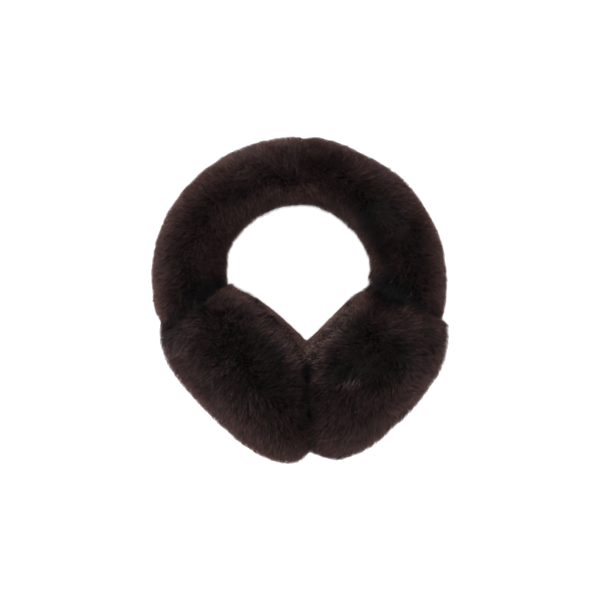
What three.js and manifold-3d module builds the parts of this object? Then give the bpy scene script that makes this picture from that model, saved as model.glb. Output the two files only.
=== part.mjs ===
// Fur earmuffs. A round spring headband is sewn into a thick fur tube, and a fur cup is sewn to each end of it,
// with a pad of short plush on the ear side. Unworn, the spring presses the two cups together below the opening for
// the head. The part lies on its back: it rests on the rear rims of the cups and on the crown of the headband.
//
// Everything is drawn as seen from the front, in millimetres: X to the right, Y up to the crown and Z out to the
// front, from the middle of the headband's circle. The finished group is then tilted and set down on Z = 0.
import * as THREE from "three";
import { mergeVertices } from "three/addons/utils/BufferGeometryUtils.js";
import Module from "manifold-3d";

// Headband
const archRadius = 70; // circle that the middle of the fur tube follows
const bandThickness = 46.5; // across the tube in the plane of the arch, at its ends
const bandDepth = 47; // across the tube from front to back, at its ends

// Ear cups
const cupLength = 115.5; // from the seam with the headband to the lowest fur
const cupDepth = 112; // from front to back
const earBulge = 45; // from the cup's long axis to the fur on the ear side
const outerBulge = 35; // and to the fur on the outer side
const meetOffset = 5; // from the arch's middle to the plane where the two cups press on each other

// Ear pads
const padRadius = 42;
const padThickness = 7;
const padProud = 1.2; // how far the plush stands above the fur round it
const padFlat = 1; // how deep its ear side is trimmed to a flat face
const padFlatTurn = 68; // the section of the cup, as in its table, whose slope that flat face follows

// Fur and seams
const furRelief = 1.8; // height of the locks above the fur between them
const furPress = 2.2; // how far the fur gives where the part lies on it
const seamGap = 0.4; // between sewn pieces, and between the cups where they press together

// Each side: its seam's turn from the crown, its cup's lean from straight down, both in degrees, and its own shares
// of the cup's length and bulges. The cups are sewn on by hand and are not quite alike.
const sides = [
  { name: "left", side: -1, seamTurn: 103.7, lean: 35, long: 1, ear: 1.02, outer: 0.95 },
  { name: "right", side: 1, seamTurn: 100, lean: 28, long: 0.965, ear: 0.96, outer: 1.075 },
];

// Sections of the fur tube, from its left end to its right end. at is the share of the way round, thick and deep are
// shares of the tube's thickness and depth, and out is how far its middle lies outside the circle, as a share of the
// thickness.
const bandSections = [
  { at: 0.0, thick: 1.0, deep: 1.0, out: -0.04 },
  { at: 0.12, thick: 0.995, deep: 1.02, out: -0.015 },
  { at: 0.2, thick: 0.943, deep: 1.0, out: 0.035 },
  { at: 0.29, thick: 0.905, deep: 0.98, out: 0.037 },
  { at: 0.42, thick: 0.88, deep: 0.95, out: 0.023 },
  { at: 0.55, thick: 0.845, deep: 0.94, out: 0.008 },
  { at: 0.64, thick: 0.88, deep: 0.96, out: -0.025 },
  { at: 0.73, thick: 0.925, deep: 0.99, out: -0.02 },
  { at: 0.82, thick: 0.965, deep: 1.01, out: -0.02 },
  { at: 0.9, thick: 0.995, deep: 1.02, out: -0.04 },
  { at: 1.0, thick: 1.0, deep: 1.0, out: -0.035 },
];

// Sections of a cup. turn sets the place along it as an angle, so that its lower end closes round: 0 is the seam and
// 180 the lowest fur. ear, outer and deep are shares of the two bulges and of half the depth.
const cupSections = [
  { turn: 0, ear: 0.57, outer: 0.72, deep: 0.43 },
  { turn: 20, ear: 0.6, outer: 0.81, deep: 0.49 },
  { turn: 40, ear: 0.71, outer: 0.92, deep: 0.68 },
  { turn: 60, ear: 0.85, outer: 0.985, deep: 0.87 },
  { turn: 75, ear: 0.935, outer: 0.96, deep: 0.966 },
  { turn: 90, ear: 0.985, outer: 0.885, deep: 1.0 },
  { turn: 105, ear: 0.96, outer: 0.805, deep: 0.966 },
  { turn: 120, ear: 0.84, outer: 0.695, deep: 0.866 },
  { turn: 135, ear: 0.66, outer: 0.54, deep: 0.707 },
  { turn: 150, ear: 0.45, outer: 0.365, deep: 0.5 },
  { turn: 165, ear: 0.23, outer: 0.185, deep: 0.259 },
  { turn: 180, ear: 0, outer: 0, deep: 0 },
];

// How square a section is: 2 is an ellipse, and more is flatter with rounder shoulders.
const bandSquareness = 2.15;
const earSquareness = 3.2;
const outerSquareness = 2.15;

// The locks lie like shingles: a row is as many rings long as lockAlong has heights, each lock is as many points wide
// as lockAcross has, and every other row is shifted by half a lock.
const lockAlong = [0.1, 0.55, 1.0];
const lockAcross = [0.25, 0.8, 1.0, 0.8];

// Steps of the meshes
const bandRings = 60;
const bandPoints = 32;
const cupRings = 30;
const cupPoints = 44;
const padPoints = 40;
const seamRings = 2; // rings at a seam that stay plain, so that both pieces meet on a clean edge

const furBrown = { color: 0x241917, roughness: 0.85, metalness: 0 };
const plushBrown = { color: 0x33241f, roughness: 0.9, metalness: 0 };

const wasm = await Module();
wasm.setup();
const { degToRad } = THREE.MathUtils;

// A closed geometry as a solid.
function solidOf(geometry) {
  const bare = geometry.clone();
  bare.deleteAttribute("normal");
  bare.deleteAttribute("uv");
  const merged = mergeVertices(bare, 1e-4);
  return new wasm.Manifold(
    new wasm.Mesh({
      numProp: 3,
      vertProperties: merged.attributes.position.array,
      triVerts: new Uint32Array(merged.index.array),
    }),
  );
}

// A solid as a mesh with a name and a finish.
function meshOf(solid, name, finish) {
  const { vertProperties, triVerts } = solid.getMesh();
  const geometry = new THREE.BufferGeometry();
  geometry.setAttribute("position", new THREE.BufferAttribute(vertProperties, 3));
  geometry.setIndex(new THREE.BufferAttribute(triVerts, 1));
  geometry.computeVertexNormals();
  const mesh = new THREE.Mesh(geometry, new THREE.MeshStandardMaterial(finish));
  mesh.name = name;
  return mesh;
}

// A column of a table, read smoothly between its rows. key is the column that says where a row lies.
function readTable(rows, key, column, at) {
  const last = rows.length - 1;
  const above = rows.findIndex((row) => at < row[key]);
  const i = above < 0 ? last - 1 : Math.max(0, above - 1);
  const slope = (j) => {
    const before = rows[Math.max(0, j - 1)];
    const after = rows[Math.min(last, j + 1)];
    return (after[column] - before[column]) / (after[key] - before[key]);
  };
  const width = rows[i + 1][key] - rows[i][key];
  const t = (at - rows[i][key]) / width;
  const start = rows[i][column] + width * t * slope(i);
  const end = rows[i + 1][column] - width * (1 - t) * slope(i + 1);
  const blend = t * t * (3 - 2 * t);
  return start * (1 - blend) + end * blend;
}

// A closed skin over rings of points. Each end closes with a fan to the point given for it.
function skinOver(rings, startPoint, endPoint) {
  const count = rings[0].length;
  const points = [startPoint, ...rings.flat(), endPoint];
  const endIndex = points.length - 1;
  const faces = [];
  const index = (ring, j) => 1 + ring * count + (j % count);
  for (let j = 0; j < count; j++) {
    faces.push(0, index(0, j + 1), index(0, j));
    faces.push(endIndex, index(rings.length - 1, j), index(rings.length - 1, j + 1));
    for (let ring = 0; ring < rings.length - 1; ring++) {
      faces.push(index(ring, j), index(ring, j + 1), index(ring + 1, j + 1));
      faces.push(index(ring, j), index(ring + 1, j + 1), index(ring + 1, j));
    }
  }
  const geometry = new THREE.BufferGeometry().setFromPoints(points);
  geometry.setIndex(faces);
  return geometry;
}

// The middle of a ring of points.
function middleOf(ring) {
  const sum = ring.reduce((total, point) => total.add(point), new THREE.Vector3());
  return sum.divideScalar(ring.length);
}

// The height of the fur at one point of a ring, from the lock that it belongs to.
function lockHeight(ring, point, rings) {
  if (ring < seamRings || ring >= rings - seamRings) return 0;
  const row = Math.floor(ring / lockAlong.length);
  const shift = row % 2 ? lockAcross.length / 2 : 0;
  const along = lockAlong[ring % lockAlong.length];
  const across = lockAcross[(point + shift) % lockAcross.length];
  return furRelief * along * across;
}

// One point of an oval section, from its half sizes, its squareness and an angle.
function ovalPoint(halfWidth, halfDepth, squareness, angle) {
  const power = 2 / squareness;
  return [
    halfWidth * Math.sign(Math.cos(angle)) * Math.abs(Math.cos(angle)) ** power,
    halfDepth * Math.sign(Math.sin(angle)) * Math.abs(Math.sin(angle)) ** power,
  ];
}

// A block that covers the far side of a plane, for cutting. size is its width, and reach how far it goes.
function blockBeyond(point, direction, size, reach) {
  const block = new THREE.BoxGeometry(size, size, reach);
  const turn = new THREE.Quaternion().setFromUnitVectors(new THREE.Vector3(0, 0, 1), direction);
  block.applyQuaternion(turn);
  const middle = point.clone().addScaledVector(direction, reach / 2);
  block.translate(middle.x, middle.y, middle.z);
  return solidOf(block);
}

// The seam of one side: its middle, the direction of its cup and the direction towards the ear.
function seamOf({ side, seamTurn, lean }) {
  const turn = degToRad(seamTurn);
  const tilt = degToRad(lean);
  const radius = archRadius + bandThickness * bandSections[0].out;
  return {
    middle: new THREE.Vector3(side * radius * Math.sin(turn), radius * Math.cos(turn), 0),
    along: new THREE.Vector3(-side * Math.sin(tilt), -Math.cos(tilt), 0),
    ear: new THREE.Vector3(-side * Math.cos(tilt), Math.sin(tilt), 0),
  };
}

// The fur tube runs on past both seams and is cut back to them.
function makeHeadband() {
  const pastSeam = Math.asin(bandThickness / 3 / archRadius);
  const [from, to] = sides.map(({ side, seamTurn }) => side * (degToRad(seamTurn) + pastSeam));
  const rings = [];
  for (let ring = 0; ring < bandRings; ring++) {
    const at = ring / (bandRings - 1);
    const turn = from + (to - from) * at;
    const outward = new THREE.Vector3(Math.sin(turn), Math.cos(turn), 0);
    const thickness = bandThickness * readTable(bandSections, "at", "thick", at);
    const depth = bandDepth * readTable(bandSections, "at", "deep", at);
    const radius = archRadius + bandThickness * readTable(bandSections, "at", "out", at);
    const points = [];
    for (let j = 0; j < bandPoints; j++) {
      const angle = (2 * Math.PI * j) / bandPoints;
      const [out, front] = ovalPoint(thickness / 2, depth / 2, bandSquareness, angle);
      const grow = 1 + lockHeight(ring, j, bandRings) / Math.hypot(out, front);
      const point = outward.clone().multiplyScalar(radius + out * grow);
      points.push(point.setZ(front * grow));
    }
    rings.push(points);
  }
  const tube = solidOf(skinOver(rings, middleOf(rings[0]), middleOf(rings[bandRings - 1])));
  const cutBack = sides.map((one) => {
    const seam = seamOf(one);
    return blockBeyond(seam.middle, seam.along, 2 * bandThickness, bandThickness);
  });
  return tube.subtract(cutBack[0]).subtract(cutBack[1]);
}

// How far from the seam a section of a cup lies.
function alongCup(one, turn) {
  return (cupLength * one.long * (1 - Math.cos(degToRad(turn)))) / 2;
}

// The form of a cup in its own frame: X along the cup from the seam, Y towards the ear and Z from back to front.
function cupForm(one, relief) {
  const rings = [];
  for (let ring = 0; ring < cupRings; ring++) {
    const turn = (180 * ring) / cupRings;
    const along = alongCup(one, turn);
    const earReach = earBulge * one.ear * readTable(cupSections, "turn", "ear", turn);
    const outerReach = outerBulge * one.outer * readTable(cupSections, "turn", "outer", turn);
    const halfDepth = (cupDepth / 2) * readTable(cupSections, "turn", "deep", turn);
    const points = [];
    for (let j = 0; j < cupPoints; j++) {
      const angle = (2 * Math.PI * j) / cupPoints;
      const towardsEar = Math.cos(angle) > 0;
      const reach = towardsEar ? earReach : outerReach;
      const squareness = towardsEar ? earSquareness : outerSquareness;
      const [y, z] = ovalPoint(reach, halfDepth, squareness, angle);
      const grow = 1 + (relief * lockHeight(ring, j, cupRings)) / Math.hypot(y, z);
      points.push(new THREE.Vector3(along, y * grow, z * grow));
    }
    rings.push(points);
  }
  return skinOver(rings, middleOf(rings[0]), new THREE.Vector3(cupLength * one.long, 0, 0));
}

// The middle of a cup's ear side at one section, raised by some millimetres.
function cupPoint(one, turn, raise) {
  const reach = earBulge * one.ear * readTable(cupSections, "turn", "ear", turn);
  return new THREE.Vector3(alongCup(one, turn), reach + raise, 0);
}

// A cup's fur with the hollow for its pad, and the pad, both cut where they press on the other cup.
function makeCup(one) {
  const seam = seamOf(one);
  const acrossCup = new THREE.Vector3().crossVectors(seam.along, seam.ear);
  const place = new THREE.Matrix4().makeBasis(seam.along, seam.ear, acrossCup);
  const start = seam.middle.clone().addScaledVector(seam.along, seamGap);
  place.setPosition(start);
  const placed = (geometry) => solidOf(geometry.clone().applyMatrix4(place));
  const shifted = (geometry, towardsEar) => geometry.clone().translate(0, towardsEar, 0);

  const furry = cupForm(one, 1);
  const smooth = cupForm(one, 0);
  const earReach = earBulge * one.ear;
  const disc = (radius) =>
    new THREE.CylinderGeometry(radius, radius, 2 * earReach, padPoints)
      .rotateY(Math.PI / padPoints)
      .translate(alongCup(one, 90), 1.3 * earReach, 0);

  const meetX = meetOffset + (one.side * seamGap) / 2;
  const otherCup = blockBeyond(
    new THREE.Vector3(meetX, 0, 0),
    new THREE.Vector3(-one.side, 0, 0),
    6 * cupLength,
    cupLength,
  );

  const hollow = placed(disc(padRadius + seamGap)).subtract(placed(shifted(smooth, -padThickness - seamGap)));
  const fur = placed(furry).subtract(hollow).subtract(otherCup);

  // The plush is trimmed to a plane that leans like the ear side between the seam and the middle of the cup.
  const middle = cupPoint(one, padFlatTurn, padProud - padFlat);
  const slope = cupPoint(one, padFlatTurn + 15, 0).sub(cupPoint(one, padFlatTurn - 15, 0));
  const facing = new THREE.Vector3(-slope.y, slope.x, 0).normalize();
  const beyondFlat = blockBeyond(
    middle.applyMatrix4(place),
    facing.transformDirection(place),
    3 * cupLength,
    cupLength,
  );
  const pad = placed(shifted(smooth, padProud))
    .intersect(placed(disc(padRadius)))
    .subtract(placed(shifted(smooth, -padThickness)))
    .subtract(beyondFlat)
    .subtract(otherCup);
  return { fur, pad };
}

// The lowest point of a solid once it is tilted back, so that the crown goes down and the cups stay up.
function lowestWhenTilted(solid, tilt) {
  const { vertProperties } = solid.getMesh();
  let lowest = Infinity;
  for (let i = 0; i < vertProperties.length; i += 3) {
    const height = vertProperties[i + 2] * Math.cos(tilt) - vertProperties[i + 1] * Math.sin(tilt);
    lowest = Math.min(lowest, height);
  }
  return lowest;
}

const headband = makeHeadband();
const cups = sides.map((one) => ({ ...one, ...makeCup(one) }));

// The tilt at which the crown and the cups touch the ground together.
let flat = 0;
let steep = Math.PI / 4;
const furLowest = (tilt) => Math.max(...cups.map(({ fur }) => lowestWhenTilted(fur, tilt)));
for (let step = 0; step < 40; step++) {
  const tilt = (flat + steep) / 2;
  if (lowestWhenTilted(headband, tilt) > furLowest(tilt)) flat = tilt;
  else steep = tilt;
}
const restTilt = (flat + steep) / 2;

const lying = new THREE.Group();
lying.rotation.x = -restTilt;
lying.position.z = -lowestWhenTilted(headband, restTilt) - furPress;
lying.updateMatrix();

// The fur is pressed flat where it would go below the ground.
const toDrawn = lying.matrix.clone().invert();
const groundPoint = new THREE.Vector3().applyMatrix4(toDrawn);
const down = new THREE.Vector3(0, 0, -1).transformDirection(toDrawn);
const ground = blockBeyond(groundPoint, down, 6 * cupLength, cupLength);

lying.add(meshOf(headband.subtract(ground), "headband_fur", furBrown));
for (const { name, fur, pad } of cups) {
  lying.add(meshOf(fur.subtract(ground), `${name}_cup_fur`, furBrown));
  lying.add(meshOf(pad.subtract(ground), `${name}_ear_pad`, plushBrown));
}

// The origin is on the ground, under the middle of the part.
const earmuffs = new THREE.Group();
earmuffs.add(lying);
const reach = new THREE.Box3().setFromObject(earmuffs, true);
const centre = reach.getCenter(new THREE.Vector3());
lying.position.x = -centre.x;
lying.position.y = -centre.y;

export default earmuffs;
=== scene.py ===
import math

import bmesh
import bpy
import numpy as np
from mathutils import Matrix, Vector
from mathutils.bvhtree import BVHTree
from mathutils.kdtree import KDTree


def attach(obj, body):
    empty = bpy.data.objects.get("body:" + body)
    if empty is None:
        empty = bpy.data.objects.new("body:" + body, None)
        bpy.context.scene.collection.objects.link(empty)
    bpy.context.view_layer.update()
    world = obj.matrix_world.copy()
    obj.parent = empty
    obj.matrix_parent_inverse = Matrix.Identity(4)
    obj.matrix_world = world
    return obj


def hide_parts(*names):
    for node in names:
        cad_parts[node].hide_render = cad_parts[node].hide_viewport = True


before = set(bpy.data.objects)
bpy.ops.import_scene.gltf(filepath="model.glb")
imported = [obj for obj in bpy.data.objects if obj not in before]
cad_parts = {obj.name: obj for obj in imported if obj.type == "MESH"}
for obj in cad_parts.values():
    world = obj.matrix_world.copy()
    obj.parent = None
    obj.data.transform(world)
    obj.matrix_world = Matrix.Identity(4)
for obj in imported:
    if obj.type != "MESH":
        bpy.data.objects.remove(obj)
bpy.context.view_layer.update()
print("stage: frame loaded")

mm = 0.001

# the plane of the headband leans back over the floor, and the photograph looks straight at it
archPlane = {"lean": 15.25, "centre": (-0.00009, 0.01126, 0.03986), "radius": 70 * mm}
fromArch = Matrix.Translation(archPlane["centre"]) @ Matrix.Rotation(-math.radians(archPlane["lean"]), 4, "X")
archTurn = np.array(fromArch.to_3x3())
archCentre = np.array(archPlane["centre"])


def inArch(points):
    return (points - archCentre) @ archTurn


def outOfArch(directions):
    return directions @ archTurn.T


def unit(vectors):
    return vectors / np.maximum(np.linalg.norm(vectors, axis=1, keepdims=True), 1e-12)


def smoothRise(values, low, high):
    t = np.clip((values - low) / (high - low), 0, 1)
    return t * t * (3 - 2 * t)


# camera: as in the photograph, along the arch's own axis, with the crown at the top
cameraSet = {"distance": 1.15, "frameWidth": 0.378, "aim": (0.0, -0.0107, 0.0)}


def makeCamera():
    data = bpy.data.cameras.new("camera")
    data.sensor_width = 36
    data.lens = 36 * cameraSet["distance"] / cameraSet["frameWidth"]
    data.clip_start, data.clip_end = 0.05, 20
    camera = bpy.data.objects.new("camera", data)
    bpy.context.scene.collection.objects.link(camera)
    back = Vector((0, 0, cameraSet["distance"]))
    camera.matrix_world = fromArch @ Matrix.Translation(Vector(cameraSet["aim"]) + back)
    bpy.context.scene.camera = camera


# what all the piles and the hides below them share; heights are above the arch's plane, in mm
pileRules = {
    "softenings": 2,
    "rimAngle": 0.9,
    "sewnGap": 0.5 * mm,
    "sewnFacing": -0.9,
    "creaseWidth": 7 * mm,
    "creaseRise": 0.6,
    "loweredHide": 1.5,
    "sewnOverlap": 0.25 * mm,
    "lengths": (0.85, 1.15),
    "leastLean": 0.35,
    "clearFlow": (0.1, 1.0),
    "leanWaves": 0.15,
    "lowestRise": 0.25,
    "raising": 0.6,
    "clumpPulls": (0.4, 1),
    "raggedSize": 8 * mm,
    "raggedClumps": 0.5,
    "outlineReach": 0.6,
    "widths": (0.6, 1.3),
    "sideStray": 0.45,
    "guardWidth": 0.8,
    "bendWidth": 0.8,
    "glintWidth": 1.3,
    "glintRise": 0.9,
    "bendAt": 0.65,
    "bendRise": 0.5,
    "floorGap": 0.4 * mm,
    "creaseHeights": (3, 13),
    "zoneHeights": (-6, 6),
    "livelyTone": 2,
    "leastMixed": 0.4,
    "darkestTone": -2.5,
    "lightestTone": 5.9,
    "paleTone": 8.0,
}


def waveField(points, size, seed):
    # a smooth wandering value from about -1 to 1, with bumps about size across
    rng = np.random.default_rng(seed)
    total = np.zeros(len(points))
    for _ in range(7):
        way = rng.normal(size=3)
        way *= rng.uniform(0.7, 1.4) * 2 * math.pi / (size * 2 * np.linalg.norm(way))
        total += np.sin(points @ way + rng.uniform(0, 2 * math.pi))
    return total / 2.6


def formOf(nodeName):
    # the form of a fur or plush solid, with its locks softened and its sharp rims as they are
    form = bmesh.new()
    form.from_mesh(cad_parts[nodeName].data)
    bmesh.ops.remove_doubles(form, verts=form.verts, dist=1e-5)
    bmesh.ops.triangulate(form, faces=form.faces)
    rim = pileRules["rimAngle"]
    axes = {"use_axis_x": True, "use_axis_y": True, "use_axis_z": True}
    for _ in range(pileRules["softenings"]):
        rounded = [v for v in form.verts if all(e.calc_face_angle(0) < rim for e in v.link_edges)]
        bmesh.ops.smooth_vert(form, verts=rounded, factor=0.5, **axes)
    form.normal_update()
    form.verts.index_update()
    return form


def nodeTree(nodeName):
    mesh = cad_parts[nodeName].data
    return BVHTree.FromPolygons([v.co for v in mesh.vertices], [p.vertices for p in mesh.polygons])


def bareFaces(form, trees):
    # faces that lie against another piece grow no hair
    bare = np.zeros(len(form.faces), bool)
    for i, face in enumerate(form.faces):
        spot = face.calc_center_median()
        for tree in trees:
            place, facing, _, _ = tree.find_nearest(spot, pileRules["sewnGap"])
            bare[i] |= place is not None and facing.dot(face.normal) < pileRules["sewnFacing"]
    return bare


def seamPull(form, trees):
    # for each point of the form, the way to each other piece nearby, fading out across the crease
    reach = pileRules["creaseWidth"]
    pull = np.zeros((len(form.verts), 3))
    for i, v in enumerate(form.verts):
        for tree in trees:
            place, _, _, far = tree.find_nearest(v.co, reach)
            if place is not None and far > 0.05 * mm:
                pull[i] += np.array((place - v.co) / far) * (1 - far / reach)
    return pull


def arraysOf(form):
    form.verts.ensure_lookup_table()
    places = np.array([v.co for v in form.verts])
    normals = np.array([v.normal for v in form.verts])
    corners = np.array([[v.index for v in f.verts] for f in form.faces])
    return places, normals, corners


def scatter(form, bare, pull, count, rng, wanted):
    # points spread over the form, closer together beside a seam, with their smooth normals
    places, normals, corners = arraysOf(form)
    a, b, c = places[corners].transpose(1, 0, 2)
    area = np.linalg.norm(np.cross(b - a, c - a), axis=1) / 2
    area *= 1 + np.linalg.norm(pull[corners].mean(1), axis=1)
    area[bare] = 0
    if wanted is not None:
        area[~wanted((a + b + c) / 3)] = 0
    pick = np.searchsorted(np.cumsum(area) / area.sum(), rng.random(count))
    u, v = rng.random(count), rng.random(count)
    over = u + v > 1
    u[over], v[over] = 1 - u[over], 1 - v[over]
    share = np.stack([1 - u - v, u, v], 1)[:, :, None]
    chosen = corners[pick]
    spots, facing, toSeam = ((values[chosen] * share).sum(1) for values in (places, normals, pull))
    return spots, unit(facing), toSeam, area.sum()


def zoneSum(at, zones):
    # soft ovals on the arch's plane, each x, y, half width, half height in mm, turn in degrees and amount
    total = np.zeros(len(at))
    for x, y, wide, high, turned, amount in zones:
        c, d = math.cos(math.radians(turned)), math.sin(math.radians(turned))
        u = ((at[:, 0] - x) * c + (at[:, 1] - y) * d) / wide
        v = ((at[:, 1] - y) * c - (at[:, 0] - x) * d) / high
        total += amount * np.exp(-(u**2 + v**2))
    return total


def nearestOf(points, centres):
    tree = KDTree(len(centres))
    for i, spot in enumerate(centres):
        tree.insert(spot, i)
    tree.balance()
    return np.array([tree.find(p)[1] for p in points])


def gather(spots, area, size, rng):
    # clumps or tufts about size across: how many there are, and which one each hair belongs to
    number = int(area / size**2)
    return number, nearestOf(spots, spots[rng.choice(len(spots), number, replace=False)])


def shared(rng, group, width=None):
    # a random value, or a row of them, for each clump or tuft, given to all its hairs
    number, groupOf = group
    return rng.normal(size=number if width is None else (number, width))[groupOf]


def hairWays(normals, toSeam, flow, lean, clump, tuft, spec, rng):
    # each tuft and clump leans its own way, and so a little does each hair
    stray = shared(rng, tuft, 3) * spec["tuftStray"]
    stray += shared(rng, clump, 3) * spec["clumpStray"]
    stray += rng.normal(size=normals.shape) * spec["hairStray"]
    way = unit(normals * np.cos(lean)[:, None] + flow * np.sin(lean)[:, None] + stray)
    way = unit(way + toSeam * spec["seamLean"])
    # none grows into the hide
    inward = (way * normals).sum(1) < pileRules["lowestRise"]
    way[inward] = unit(way[inward] + normals[inward] * pileRules["raising"])
    return way


def hairTips(spots, normals, toSeam, inside, guard, clump, tuft, spec, rng):
    count = len(spots)
    at = inArch(spots) / mm
    short = rng.random(count) ** 2 * spec["unevenTips"]
    lift = shared(rng, clump) * spec["clumpLift"] + shared(rng, tuft) * spec["tuftLift"]
    proud = np.where(guard, rng.random(count) ** 3 * spec["guardProud"], 0)
    # by turns one piece's fur reaches over the seam and the other's does
    ragged = spec["overSeam"] * waveField(spots, pileRules["raggedSize"], 51)
    ragged += shared(rng, clump) * pileRules["raggedClumps"]
    least = pileRules["outlineReach"]
    reach = spec["seamReach"] * (1 + ragged) * (least + (1 - least) * inside)
    reach += zoneSum(at, spec["reachZones"]) * mm
    lift += zoneSum(at, spec["liftZones"]) * mm
    # the pile sinks into a crease, and at the outline it fills the notch
    nearSeam = np.clip(np.linalg.norm(toSeam, axis=1), 0, 1)
    sink = spec["seamSink"] * inside - spec["seamFill"] * (1 - inside)
    raised = spec["tipLift"] + lift - short + proud - nearSeam * sink
    tips = spots + normals * raised[:, None] + toSeam * reach[:, None]
    # the tips of a clump lean together
    number, clumpOf = clump
    middles = np.stack([np.bincount(clumpOf, spots[:, i], number) for i in range(3)], 1)
    middles /= np.maximum(np.bincount(clumpOf, minlength=number), 1)[:, None]
    pulls = rng.uniform(*pileRules["clumpPulls"], count)[:, None]
    return tips + (middles[clumpOf] - spots) * spec["clumpPull"] * pulls


def hairTones(tips, flank, crease, glinting, clump, tuft, spec, rng):
    # painted rim light makes the hairs paler on the flanks, and painted shade makes them darker down in the
    # creases; a negative seam shade paints a crease lighter instead
    count = len(tips)
    seen = inArch(tips) / mm
    paintedRimLight = flank**1.5 * spec["flankRimLight"] + flank**6 * spec["edgeRimLight"]
    tone = paintedRimLight * (1 - crease) - crease * spec["seamShade"]
    # the zones are partly patches of the fur's own tone and partly painted shade and highlights
    tone += zoneSum(seen, spec["toneShadeHighlightZones"]) * smoothRise(seen[:, 2], *pileRules["zoneHeights"])
    # the paler the fur, the more its hairs differ
    lively = smoothRise(tone, pileRules["darkestTone"], pileRules["livelyTone"])
    mixed = rng.normal(size=count) * spec["hairTone"] + shared(rng, clump) * spec["clumpTone"]
    mixed += shared(rng, tuft) * spec["tuftTone"]
    tone += mixed * (pileRules["leastMixed"] + lively)
    # painted glints: the glinting hairs' tips are made paler, the more so where the fur is already paler
    tone += np.where(glinting, spec["glintTone"] * lively, 0)
    # pale hairs: a few anywhere, and more in tufts, some of which are the fur's own and some painted
    # highlights
    pale = rng.random(count) < spec["paleHairs"] + zoneSum(seen, spec["paleTuftsAndHighlights"]) * (seen[:, 2] > 0)
    tone = np.clip(tone, pileRules["darkestTone"], pileRules["lightestTone"])
    return np.where(pale, pileRules["paleTone"], tone)


def makePile(form, bare, pull, spec, flowAt, seed, wanted):
    # every hair's root, bend and tip, its half width and its tone
    rng = np.random.default_rng(seed)
    count = spec["underHairs"] + spec["guardHairs"]
    spots, normals, toSeam, area = scatter(form, bare, pull, count, rng, wanted)
    flow, lean = flowAt(spots, normals)
    guard = np.arange(count) < spec["guardHairs"]
    clump = gather(spots, area, spec["clumpSize"], rng)
    tuft = gather(spots, area, spec["tuftSize"], rng)

    way = hairWays(normals, toSeam, flow, lean, clump, tuft, spec, rng)
    # the glinting hairs stand up, so that only their ends show, and these carry painted glints
    glinting = rng.random(count) < spec["glintShare"]
    way[glinting] = unit(way[glinting] + normals[glinting] * pileRules["glintRise"])
    length = spec["hairLength"] * rng.uniform(*pileRules["lengths"], count)

    inside = smoothRise(inArch(spots)[:, 2] / mm, *pileRules["creaseHeights"])
    tips = hairTips(spots, normals, toSeam, inside, guard, clump, tuft, spec, rng)
    roots = tips - way * length[:, None]
    upright = unit(way + normals * pileRules["bendRise"])
    bends = roots + upright * (length * pileRules["bendAt"])[:, None]

    side = unit(np.cross(way, normals + rng.normal(size=(count, 3)) * pileRules["sideStray"]))
    widths = np.where(glinting, pileRules["glintWidth"], np.where(guard, pileRules["guardWidth"], 1))
    halfWidth = spec["hairWidth"] / 2 * rng.uniform(*pileRules["widths"], count) * widths
    flank = 1 - (normals @ archTurn[:, 2]) ** 2
    crease = np.clip(np.linalg.norm(toSeam, axis=1), 0, 1) * inside
    tone = hairTones(tips, flank, crease, glinting, clump, tuft, spec, rng)
    return roots, bends, tips, side * halfWidth[:, None], tone, guard


def sunkHide(form, bare, pull, spec, wanted):
    # the form moved inwards below its pile, while faces sewn or pressed to a neighbour close up to it
    form.faces.ensure_lookup_table()
    sewn = {}
    for i in np.flatnonzero(bare):
        for v in form.faces[i].verts:
            sewn.setdefault(v.index, []).append(form.faces[i].normal.copy())
    places, normals, corners = arraysOf(form)
    # shallower beside a seam, so that nothing shows through it, and deeper where the pile is set lower
    nearSeam = np.clip(np.linalg.norm(pull, axis=1), 0, 1)
    depths = spec["hideDepth"] * (1 - pileRules["creaseRise"] * nearSeam)
    lowered = np.minimum(zoneSum(inArch(places) / mm, spec["liftZones"]), 0)
    depths -= lowered * pileRules["loweredHide"] * mm
    inward = normals * depths[:, None]
    for v in form.verts:
        if v.index not in sewn:
            continue
        flat = sum(sewn[v.index], Vector()).normalized()
        free = sum((f.normal * f.calc_area() for f in v.link_faces if not bare[f.index]), Vector())
        across = free - flat * free.dot(flat)
        shift = across.normalized() * depths[v.index] if across.length > 1e-9 else Vector()
        inward[v.index] = shift - flat * pileRules["sewnOverlap"]
    if wanted is not None:
        corners = corners[wanted(places[corners].mean(1))]
    used, corners = np.unique(corners, return_inverse=True)
    return (places - inward)[used], corners.reshape(-1, 3)


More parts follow.
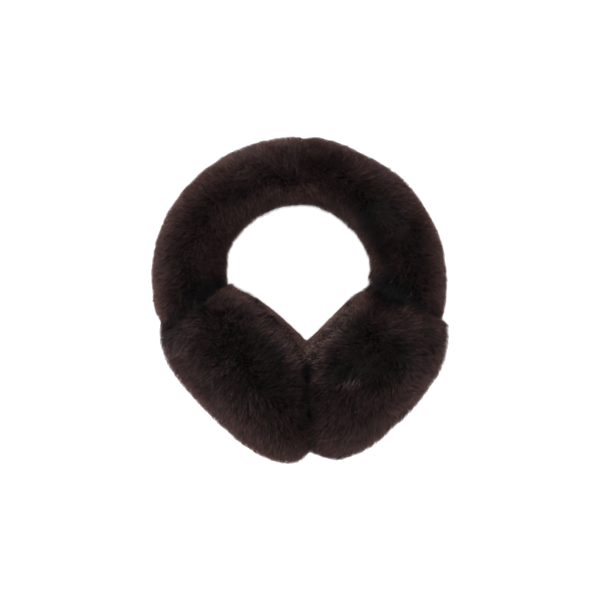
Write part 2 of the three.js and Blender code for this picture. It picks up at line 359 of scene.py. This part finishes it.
def furMesh(name, hide, pile):
    # the hide below the pile, and every hair, in one mesh made from arrays
    roots, bends, tips, side, tone, guard = pile
    hidePlaces, hideCorners = hide
    g, u = guard, ~guard
    # an under hair is a thin triangle, a guard hair a strip with a bend and a pointed end
    under = np.stack([roots[u] - side[u], roots[u] + side[u], tips[u]], 1).reshape(-1, 3)
    slim = side[g] * pileRules["bendWidth"]
    long = np.stack([roots[g] - side[g], roots[g] + side[g], bends[g] + slim, bends[g] - slim, tips[g]], 1)
    long = long.reshape(-1, 3)
    places = np.concatenate([hidePlaces, under, long])
    places[:, 2] = np.maximum(places[:, 2], pileRules["floorGap"])
    underCount, longCount = int(u.sum()), int(g.sum())
    firstUnder, firstLong = len(hidePlaces), len(hidePlaces) + len(under)
    underFaces = firstUnder + np.arange(underCount * 3).reshape(-1, 3)
    base = firstLong + np.arange(longCount)[:, None] * 5
    quads = base + np.array([0, 1, 2, 3])
    ends = base + np.array([3, 2, 4])

    loops = np.concatenate([hideCorners.ravel(), underFaces.ravel(), ends.ravel(), quads.ravel()])
    triangles = len(hideCorners) + underCount + longCount
    starts = np.concatenate([np.arange(triangles) * 3, triangles * 3 + np.arange(longCount) * 4])
    mesh = bpy.data.meshes.new(name)
    mesh.vertices.add(len(places))
    mesh.vertices.foreach_set("co", places.astype(np.float32).ravel())
    mesh.loops.add(len(loops))
    mesh.loops.foreach_set("vertex_index", loops.astype(np.int32))
    mesh.polygons.add(len(starts))
    mesh.polygons.foreach_set("loop_start", starts.astype(np.int32))
    mesh.update(calc_edges=True)

    along = np.concatenate([
        np.zeros(len(hidePlaces)),
        np.tile([0.0, 0.0, 1.0], underCount),
        np.tile([0.0, 0.0, pileRules["bendAt"], pileRules["bendAt"], 1.0], longCount),
    ])
    tones = np.concatenate([np.zeros(len(hidePlaces)), np.repeat(tone[u], 3), np.repeat(tone[g], 5)])
    for key, values in (("alongHair", along), ("hairTone", tones)):
        mesh.attributes.new(key, "FLOAT", "POINT").data.foreach_set("value", values.astype(np.float32))
    piece = bpy.data.objects.new(name, mesh)
    bpy.context.scene.collection.objects.link(piece)
    print("stage:", name, len(mesh.polygons) + longCount, "triangles")
    return piece


# headband: tones (the fur's own patches, with painted shade and highlights), pale tufts (some of them painted
# highlights), lifts and reaches are lists of zones, as zoneSum reads them
bandPile = {
    "underHairs": 97000,
    "guardHairs": 30000,
    "hairLength": 8.5 * mm,
    "hairWidth": 0.3 * mm,
    "tipLift": 1.5 * mm,
    "unevenTips": 1.2 * mm,
    "guardProud": 1.1 * mm,
    "clumpSize": 0.95 * mm,
    "tuftSize": 9 * mm,
    "clumpPull": 0.22,
    "clumpLift": 0.32 * mm,
    "tuftLift": 0.2 * mm,
    "clumpStray": 0.08,
    "tuftStray": 0.08,
    "hairStray": 0.13,
    "clumpTone": 0.6,
    "tuftTone": 0.12,
    "hairTone": 0.85,
    # painted glints on the tips of some hairs
    "glintShare": 0.09,
    "glintTone": 5.0,
    # painted rim light, paler on the flanks and at the edges
    "flankRimLight": 4.0,
    "edgeRimLight": 1.5,
    "paleHairs": 0.0006,
    "seamLean": 0.35,
    "seamSink": 0.8 * mm,
    "seamFill": 0.2 * mm,
    "seamReach": 1.6 * mm,
    "overSeam": 1.0,
    "seamShade": 2.2,
    "toneShadeHighlightZones": [
        (-66, 0, 12, 22, 0, -0.9),
        (-46, 8, 7, 18, -8, -3.2),
        (-60, -5, 18, 7, 20, -1.3),
        (-42, 52, 24, 7, 30, -1.1),
        (64, 25, 15, 34, 12, -0.9),
        (76, 28, 12, 40, 12, -0.9),
        (44, 52, 20, 10, -45, -1.0),
        (45, 22, 8, 22, 18, -3.2),
        (33, 42, 12, 6, -50, -1.3),
        (57, -3, 16, 7, -30, -1.6),
        (14, 77, 26, 12, -8, -0.8),
        (-17, 70, 14, 6, 10, 1.0),
        (10, 89, 26, 5, -8, -2.4),
        (48, 76, 22, 6, -42, -1.2),
        (-32, 80, 18, 9, 25, 2.8),
        (-88, 27, 5, 25, -5, 0.6),
        (-6, 56, 13, 6, 0, 4.5),
        (-32, 44, 12, 4, 42, 1.6),
    ],
    "paleTuftsAndHighlights": [
        (-62.5, -16.5, 2.5, 2.5, 0, 0.04),
        (-57, -21, 4, 1.6, 20, 0.03),
        (66, -9, 1.5, 2.2, 0, 0.08),
        (-32, 78, 14, 6, 25, 0.07),
        (-6, 56, 11, 5, 0, 0.16),
    ],
    "liftZones": [
        (24, 88, 14, 10, 0, 1.0),
        (66, 64, 12, 12, 0, 0.9),
        (-36, 38, 14, 14, 0, 1.0),
        (0, 52, 12, 8, 0, 0.8),
        (-2, 92, 8, 6, 0, 0.4),
        (3, 92, 3, 6, 0, -0.7),
        (11, 92, 4, 6, 0, 0.8),
        (-46, -3, 7, 7, 0, -1.6),
        (47, 11, 7, 10, 0, -1.0),
        (-87, -28, 6, 6, 0, -2.6),
    ],
    "reachZones": [(-86, -30, 7, 6, 0, 0.8)],
    "hideDepth": 5 * mm,
}
bandNap = {
    "lean": 32,
    "tubeHalf": 20 * mm,
    "outward": 1.1,
    "onward": 0.55,
    "crownTurn": 5,
    "swirlSize": 22 * mm,
    "swirlRight": 0.7,
    "swirlLeft": 0.4,
    "swirlOutward": 0.6,
    "swirlOnward": 0.5,
    "partingWidth": 0.3,
    "partingOutward": 0.4,
    "waveSize": 16 * mm,
}

# cups
cupPile = dict(bandPile, underHairs=94000, guardHairs=31000, hairLength=9 * mm, overSeam=-1.0)
# in the cups' zones, tones are partly the fur's own patches and partly painted shade and highlights, and some
# pale tufts paint highlights
cupMarks = {
    "left": {
        "toneShadeHighlightZones": [
            (-25, -59, 10, 34, 38, -1.4),
            (-24, -33, 19, 6, -43, -1.2),
            (-8, -62, 8, 12, 20, -0.7),
            (-80, -36, 9, 10, 0, -1.3),
            (-50, -68, 22, 9, -45, -0.7),
            (-42, -42, 8, 9, 0, 0.8),
            (-48, -32, 13, 15, 0, 1.1),
            (-11.5, -29, 22, 3, 129, 2.6),
            (0, -45, 5, 6, 40, 3.5),
            (-10, -46, 22, 9, -38, -1.1),
            (-69, -64, 8, 24, 40, 0.6),
            (0, -79, 6, 15, 0, -0.8),
            (-44, -12, 12, 7, 0, -0.8),
            (-60, -20, 12, 6, 20, -0.6),
        ],
        "paleTuftsAndHighlights": [
            (-53.5, -39, 4, 1.2, 5, 0.04),
            (-82, -42, 3, 1.5, 25, 0.05),
            (-76, -47, 3, 1.5, 20, 0.04),
            (-62, -60, 5, 1.2, 0, 0.03),
            (-12, -94, 7, 6, -30, 0.03),
            (-4, -42, 12, 5, 129, 0.08),
        ],
        "liftZones": [
            (-11.5, -29, 22, 4, 129, 1.0),
            (0, -46, 5, 6, 0, 1.4),
            (-84, -50, 10, 14, 0, 1.2),
            (-90, -38, 8, 6, 0, 1.3),
            (6, -104, 6, 6, 0, 1.4),
        ],
        "reachZones": [
            (-11.5, -29, 22, 5, 129, 1.2),
            (2, -43, 9, 9, 0, 2.0),
            (6, -103, 7, 7, 0, 1.5),
            (-88, -32, 7, 6, 0, 1.6),
            (5, -72, 5, 24, 0, 0.7),
        ],
    },
    "right": {
        "toneShadeHighlightZones": [
            (44, -45, 19, 22, 0, -1.7),
            (65, -42, 10, 17, 0, -1.4),
            (54, -8, 16, 7, -25, -4.0),
            (60, -36, 5, 4, 0, -1.0),
            (66, -15, 4, 4, 0, 2.8),
            (9, -79, 5, 15, 0, -1.4),
            (21, -53, 11, 9, 0, -1.2),
            (18.5, -32.5, 18, 3, 55, 3.5),
            (20, -30.6, 19, 1.7, 40.5, 5.0),
            (25, -23, 18, 6, 45, 3.2),
            (8, -44, 4, 5, 0, 2.5),
            (82, -50, 9, 22, 0, -1.2),
        ],
        "paleTuftsAndHighlights": [
            (30, -63, 5.5, 1.9, 10, 0.8),
            (47, -22, 4, 2, 10, 0.03),
            (62, -37, 3, 2, 20, 0.04),
            (66, -15, 3, 3, 0, 0.04),
            (20, -30.6, 18, 1.2, 40.5, 0.6),
            (23, -24, 16, 3, 52, 0.25),
            (8, -46, 4, 6, 0, 0.1),
            (14, -96, 10, 5, 10, 0.03),
        ],
        "liftZones": [
            (18, -32.5, 19, 4, 55, 1.4),
            (23, -23, 13, 2.5, 53, 0.8),
            (30, -63, 5, 2.5, 10, 0.5),
            (27, -104, 20, 14, 20, -2.3),
            (53, -92, 12, 10, 0, -1.0),
            (73, -74, 10, 10, 0, 0.8),
            (88, -52, 10, 16, 0, 0.9),
            (32, -14, 18, 7, 38, -1.3),
            (6, -104, 6, 6, 0, 2.0),
        ],
        "reachZones": [
            (8, -42, 9, 9, 0, 1.8),
            (6, -103, 7, 7, 0, 1.5),
            (18, -32, 20, 5, 55, 1.5),
            (23, -23, 13, 4, 53, 1.2),
            (5, -72, 5, 24, 0, 0.7),
        ],
    },
}
# the nap of a cup lies apart to both sides of a line through its middle, and drifts onward along it
cupBrush = {
    "lean": 33,
    "drift": 0.5,
    "swirlSize": 20 * mm,
    "swirl": 0.5,
    "swirlOnward": 0.6,
    "waveSize": 14 * mm,
}
cupNap = {
    "left": dict(cupBrush, middle=(-0.0250, -0.0570), onward=(63, -69), spread=14 * mm, fan=0.3, seed=21),
    "right": dict(cupBrush, middle=(0.0460, -0.0360), onward=(-10, -60), spread=25 * mm, fan=0.45, seed=25),
}

# ear pads: short plush, standing almost straight up
padNap = {"way": (0.1, -1.0, 0.3), "lean": 14, "waveSize": 12 * mm}
padPile = dict(
    bandPile,
    underHairs=32000,
    guardHairs=6000,
    hairLength=4.2 * mm,
    hairWidth=0.55 * mm,
    tipLift=0.1 * mm,
    unevenTips=1.2 * mm,
    guardProud=1.0 * mm,
    hairTone=1.6,
    clumpTone=0.6,
    clumpSize=1.3 * mm,
    tuftSize=7 * mm,
    clumpLift=0.1 * mm,
    tuftLift=0.15 * mm,
    hideDepth=2.2 * mm,
    paleHairs=0.0,
    seamSink=-0.7 * mm,
    seamFill=0.2 * mm,
    seamReach=1.8 * mm,
    overSeam=0.0,
    seamShade=-0.5,
    # painted glints on the tips of a quarter of the hairs
    glintShare=0.25,
    glintTone=4.0,
    # zones of painted highlight along the pads' edges, and one darker zone
    toneShadeHighlightZones=[
        (7, -44, 6, 7, 0, 3.0),
        (20, -30.6, 19, 1.7, 40.5, 5.0),
        (25, -23, 18, 8, 45, 3.0),
        (-14, -30, 18, 5, -45, -0.6),
    ],
    paleTuftsAndHighlights=[
        (9, -42, 6, 6, 40, 0.45),
        (20, -28, 14, 4, 42, 0.3),
        (-1, -39, 8, 4, -50, 0.25),
    ],
    liftZones=[
        (24, -20, 20, 8, 38, -1.0),
        (-8, -32, 11, 7, -50, -0.8),
        (5.5, -42, 5, 6, 0, 1.2),
        (18, -32.5, 19, 4, 55, 1.2),
        (-11.5, -29, 22, 4, 129, 1.0),
    ],
    reachZones=[
        (5.5, -43, 5, 8, 0, 1.8),
        (18, -32, 20, 6, 55, 1.5),
        (-11.5, -29, 22, 5, 129, 1.2),
    ],
)


def alongSkin(flow, normals):
    # a flow on the arch's plane, turned along the skin
    flow = outOfArch(flow)
    return flow - (flow * normals).sum(1)[:, None] * normals


def leanOf(flow, lean, waves):
    # hairs stand straighter where the nap has no clear way
    clear = smoothRise(np.linalg.norm(flow, axis=1), *pileRules["clearFlow"])
    least = pileRules["leastLean"]
    return np.radians(lean) * (least + (1 - least) * clear) * (1 + pileRules["leanWaves"] * waves)


def bandFlow(spots, normals):
    # away from the crown along the arch, and outwards and inwards from its middle line
    nap = bandNap
    at = inArch(spots)
    turn = np.arctan2(at[:, 0], at[:, 1])
    none = np.zeros(len(turn))
    outward = np.stack([np.sin(turn), np.cos(turn), none], 1)
    onward = np.stack([np.cos(turn), -np.sin(turn), none], 1)
    fromLine = np.hypot(at[:, 0], at[:, 1]) - archPlane["radius"]
    across = np.clip(fromLine / nap["tubeHalf"], -1, 1) * nap["outward"]
    swirl = waveField(at, nap["swirlSize"], 11) * np.where(turn > 0, nap["swirlRight"], nap["swirlLeft"])
    parted = np.exp(-((turn / nap["partingWidth"]) ** 2)) * nap["partingOutward"]
    away = np.tanh(turn * nap["crownTurn"]) * nap["onward"]
    flow = outward * (across + swirl * nap["swirlOutward"] + parted)[:, None]
    flow += onward * (away + swirl * nap["swirlOnward"])[:, None]
    flow = alongSkin(flow, normals)
    return unit(flow), leanOf(flow, nap["lean"], waveField(at, nap["waveSize"], 12))


def cupFlow(sideName):
    nap = cupNap[sideName]
    onward = np.array(nap["onward"]) / np.hypot(*nap["onward"])
    aside = np.array([-onward[1], onward[0]])

    def flowAt(spots, normals):
        at = inArch(spots)
        out = at[:, :2] - np.array(nap["middle"])
        swirl = waveField(at, nap["swirlSize"], nap["seed"]) * nap["swirl"]
        apart = np.tanh(out @ aside / nap["spread"]) + swirl
        along = nap["drift"] + np.tanh(out @ onward / nap["spread"]) * nap["fan"]
        along -= swirl * nap["swirlOnward"]
        flow = np.zeros_like(at)
        flow[:, :2] = aside * apart[:, None] + onward * along[:, None]
        flow = alongSkin(flow, normals)
        waves = waveField(at, nap["waveSize"], nap["seed"] + 1)
        return unit(flow), leanOf(flow, nap["lean"], waves)

    return flowAt


def padFlow(spots, normals):
    at = inArch(spots)
    flow = alongSkin(np.tile(padNap["way"], (len(at), 1)), normals)
    return unit(flow), np.radians(padNap["lean"]) * (1 + waveField(at, padNap["waveSize"], 31))


# materials
def addNode(tree, kind, place=(0, 0), **settings):
    node = tree.nodes.new(kind)
    node.location = place
    for key, value in settings.items():
        setattr(node, key, value)
    return node


def rangeNode(tree, place, value, limits, smooth=True):
    # limits are the range that the value comes from and, if it isn't 0 to 1, the one that it goes to
    kind = "SMOOTHSTEP" if smooth else "LINEAR"
    node = addNode(tree, "ShaderNodeMapRange", place, interpolation_type=kind)
    for label, limit in zip(("From Min", "From Max", "To Min", "To Max"), limits):
        node.inputs[label].default_value = limit
    tree.links.new(value, node.inputs["Value"])
    return node.outputs["Result"]


def mathNode(tree, place, operation, first, second):
    # second is a socket or a plain number
    node = addNode(tree, "ShaderNodeMath", place, operation=operation)
    tree.links.new(first, node.inputs[0])
    if isinstance(second, (int, float)):
        node.inputs[1].default_value = second
    else:
        tree.links.new(second, node.inputs[1])
    return node.outputs[0]


def mixNode(tree, place, share, first, second):
    node = addNode(tree, "ShaderNodeMix", place, data_type="RGBA")
    for label, socket in (("Factor", share), ("A", first), ("B", second)):
        tree.links.new(socket, node.inputs[label])
    return node.outputs["Result"]


# how the fur's material reads a hair's tone, and how far along the hair a point lies
toneRules = {
    "patchEdges": (0.42, 0.62),
    "shadeTones": (0.2, -2.4),
    "dimmestTone": -0.5,
    "paleTones": (6.0, pileRules["paleTone"]),
    "tipAlong": (0.52, 1.0),
    "rootRoughness": 0.9,
    "tipRoughness": 0.55,
}


def makeFurTone():
    # colour and roughness along a hair, from its tone, which carries painted rim light, glints and shade
    # besides the fur's own tone, and from patches in the fur
    tree = bpy.data.node_groups.new("furTone", "ShaderNodeTree")
    for label in ("Root Colour", "Tip Colour", "Patch Colour", "Shade Colour", "Pale Colour"):
        tree.interface.new_socket(name=label, in_out="INPUT", socket_type="NodeSocketColor")
    for label in ("Patch Scale", "Patch Strength", "Tone Strength"):
        tree.interface.new_socket(name=label, in_out="INPUT", socket_type="NodeSocketFloat")
    tree.interface.new_socket(name="Colour", in_out="OUTPUT", socket_type="NodeSocketColor")
    tree.interface.new_socket(name="Roughness", in_out="OUTPUT", socket_type="NodeSocketFloat")
    into = addNode(tree, "NodeGroupInput", (-1100, 0)).outputs
    out = addNode(tree, "NodeGroupOutput", (900, 0)).inputs
    along = addNode(tree, "ShaderNodeAttribute", (-1100, -260), attribute_name="alongHair").outputs["Fac"]
    tone = addNode(tree, "ShaderNodeAttribute", (-1100, -460), attribute_name="hairTone").outputs["Fac"]

    coords = addNode(tree, "ShaderNodeTexCoord", (-1100, 300))
    patches = addNode(tree, "ShaderNodeTexNoise", (-860, 300))
    patches.inputs["Detail"].default_value = 2
    tree.links.new(coords.outputs["Object"], patches.inputs["Vector"])
    tree.links.new(into["Patch Scale"], patches.inputs["Scale"])
    patchShare = rangeNode(tree, (-640, 300), patches.outputs["Fac"], toneRules["patchEdges"])
    patchAmount = mathNode(tree, (-430, 300), "MULTIPLY", patchShare, into["Patch Strength"])
    tip = mixNode(tree, (-220, 200), patchAmount, into["Tip Colour"], into["Patch Colour"])

    # tones below nought turn to the neutral shade colour, and those above it brighten
    darker = rangeNode(tree, (-860, -700), tone, toneRules["shadeTones"])
    shaded = mixNode(tree, (-110, 200), darker, tip, into["Shade Colour"])
    # dark roots, and the hide below them that counts as a root, are partly the fur's own colour and partly
    # painted shade deep in the pile
    tipShare = rangeNode(tree, (-640, -260), along, toneRules["tipAlong"])
    hair = mixNode(tree, (0, 100), tipShare, into["Root Colour"], shaded)
    lighter = mathNode(tree, (-860, -460), "MAXIMUM", tone, toneRules["dimmestTone"])
    strength = mathNode(tree, (-640, -460), "MULTIPLY", lighter, into["Tone Strength"])
    bright = mathNode(tree, (-430, -460), "ADD", strength, 1.0)
    toned = addNode(tree, "ShaderNodeVectorMath", (220, 0), operation="SCALE")
    tree.links.new(hair, toned.inputs[0])
    tree.links.new(bright, toned.inputs["Scale"])

    # pale hairs are pale towards their tips
    paleShare = rangeNode(tree, (-430, -640), tone, toneRules["paleTones"], smooth=False)
    paleAlong = mathNode(tree, (0, -520), "MULTIPLY", paleShare, tipShare)
    last = mixNode(tree, (480, 0), paleAlong, toned.outputs["Vector"], into["Pale Colour"])
    tree.links.new(last, out["Colour"])
    roughness = (0, 1, toneRules["rootRoughness"], toneRules["tipRoughness"])
    rough = rangeNode(tree, (220, -300), along, roughness, smooth=False)
    tree.links.new(rough, out["Roughness"])
    return tree


furTone = makeFurTone()


def makeMaterial(name, shaderValues):
    material = bpy.data.materials.new(name)
    material.use_nodes = True
    shader = material.node_tree.nodes["Principled BSDF"]
    for label, value in shaderValues.items():
        shader.inputs[label].default_value = value
    return material


def makeFurMaterial(name, look):
    material = makeMaterial(name, look["shader"])
    tree = material.node_tree
    shader = tree.nodes["Principled BSDF"]
    group = addNode(tree, "ShaderNodeGroup", (-300, 200), node_tree=furTone)
    for label, value in look["tone"].items():
        group.inputs[label].default_value = value
    tree.links.new(group.outputs["Colour"], shader.inputs["Base Color"])
    tree.links.new(group.outputs["Roughness"], shader.inputs["Roughness"])
    return material


furLook = {
    "tone": {
        "Root Colour": (0.0085, 0.0088, 0.0100, 1),
        "Tip Colour": (0.094, 0.0455, 0.0405, 1),
        "Patch Colour": (0.060, 0.033, 0.033, 1),
        "Shade Colour": (0.0145, 0.0138, 0.0160, 1),
        "Pale Colour": (0.3, 0.22, 0.2, 1),
        "Patch Scale": 26.0,
        "Patch Strength": 0.5,
        "Tone Strength": 0.3,
    },
    "shader": {
        "Specular IOR Level": 0.12,
        "Sheen Weight": 0.05,
        "Sheen Roughness": 0.5,
        "Sheen Tint": (0.6, 0.4, 0.36, 1),
    },
}
plushLook = {
    "tone": dict(furLook["tone"], **{"Tip Colour": (0.13, 0.071, 0.062, 1), "Patch Strength": 0.3}),
    "shader": dict(furLook["shader"]),
}
fur = makeFurMaterial("darkBrownFur", furLook)
plush = makeFurMaterial("shortPlush", plushLook)


# pieces
allNodes = ["headband_fur", "left_cup_fur", "right_cup_fur", "left_ear_pad", "right_ear_pad"]


def makeFurPiece(name, nodeName, spec, flowAt, material, seed, wanted=None):
    # wanted says which part of the node a piece covers, if not all of it
    form = formOf(nodeName)
    trees = [nodeTree(n) for n in allNodes if n != nodeName]
    bare = bareFaces(form, trees)
    pull = seamPull(form, trees)
    pile = makePile(form, bare, pull, spec, flowAt, seed, wanted)
    piece = furMesh(name, sunkHide(form, bare, pull, spec, wanted), pile)
    form.free()
    piece.data.materials.append(material)
    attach(piece, "root")
    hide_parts(nodeName)
    return piece


def leftHalf(points):
    return inArch(points)[:, 0] < 0


def rightHalf(points):
    return inArch(points)[:, 0] >= 0


makeCamera()
makeFurPiece("headbandFurLeft", "headband_fur", bandPile, bandFlow, fur, 1, wanted=leftHalf)
makeFurPiece("headbandFurRight", "headband_fur", bandPile, bandFlow, fur, 2, wanted=rightHalf)
for cupSide, cupSeed in (("left", 3), ("right", 4)):
    cupSpec = dict(cupPile, **cupMarks[cupSide])
    makeFurPiece(cupSide + "CupFur", cupSide + "_cup_fur", cupSpec, cupFlow(cupSide), fur, cupSeed)
for padSide, padSeed in (("left", 5), ("right", 6)):
    pad = makeFurPiece(padSide + "EarPlush", padSide + "_ear_pad", padPile, padFlow, plush, padSeed)


# floor and light
floorLook = {
    "Base Color": (0.9, 0.9, 0.9, 1),
    "Roughness": 0.8,
    "Emission Color": (1, 1, 1, 1),
    "Emission Strength": 0.95,
}


def makeFloor():
    shape = bmesh.new()
    bmesh.ops.create_grid(shape, x_segments=1, y_segments=1, size=3)
    mesh = bpy.data.meshes.new("floor")
    shape.to_mesh(mesh)
    shape.free()
    floor = bpy.data.objects.new("floor", mesh)
    bpy.context.scene.collection.objects.link(floor)
    mesh.materials.append(makeMaterial("paleFloor", floorLook))


softLights = [
    {"name": "windowLight", "place": (-1.2, 1.0, 0.8), "size": 1.1, "power": 18},
    {"name": "fillLight", "place": (1.2, -0.8, 0.8), "size": 1.2, "power": 8},
]
studioGlow = {"horizon": 2.2, "overhead": 0.25}


def makeLights():
    for spec in softLights:
        data = bpy.data.lights.new(spec["name"], "AREA")
        data.energy = spec["power"]
        data.size = spec["size"]
        lamp = bpy.data.objects.new(spec["name"], data)
        bpy.context.scene.collection.objects.link(lamp)
        lamp.location = spec["place"]
        lamp.rotation_euler = (-Vector(spec["place"])).to_track_quat("-Z", "Y").to_euler()
    world = bpy.data.worlds.new("studio")
    bpy.context.scene.world = world
    world.use_nodes = True
    tree = world.node_tree
    # brightest at the horizon, as from white walls
    coords = addNode(tree, "ShaderNodeTexCoord", (-800, 0))
    parts = addNode(tree, "ShaderNodeSeparateXYZ", (-600, 0))
    tree.links.new(coords.outputs["Generated"], parts.inputs["Vector"])
    low = rangeNode(tree, (-400, 0), parts.outputs["Z"], (0, 1, 1, 0), smooth=False)
    steep = mathNode(tree, (-220, 0), "POWER", low, 2)
    brightness = (0, 1, studioGlow["overhead"], studioGlow["horizon"])
    glow = rangeNode(tree, (-40, 0), steep, brightness, smooth=False)
    tree.links.new(glow, tree.nodes["Background"].inputs["Strength"])
    tree.nodes["Background"].inputs["Color"].default_value = (1, 1, 1, 1)


makeFloor()
makeLights()
bpy.context.scene.view_settings.view_transform = "Standard"
print("stage: floor and lights made")
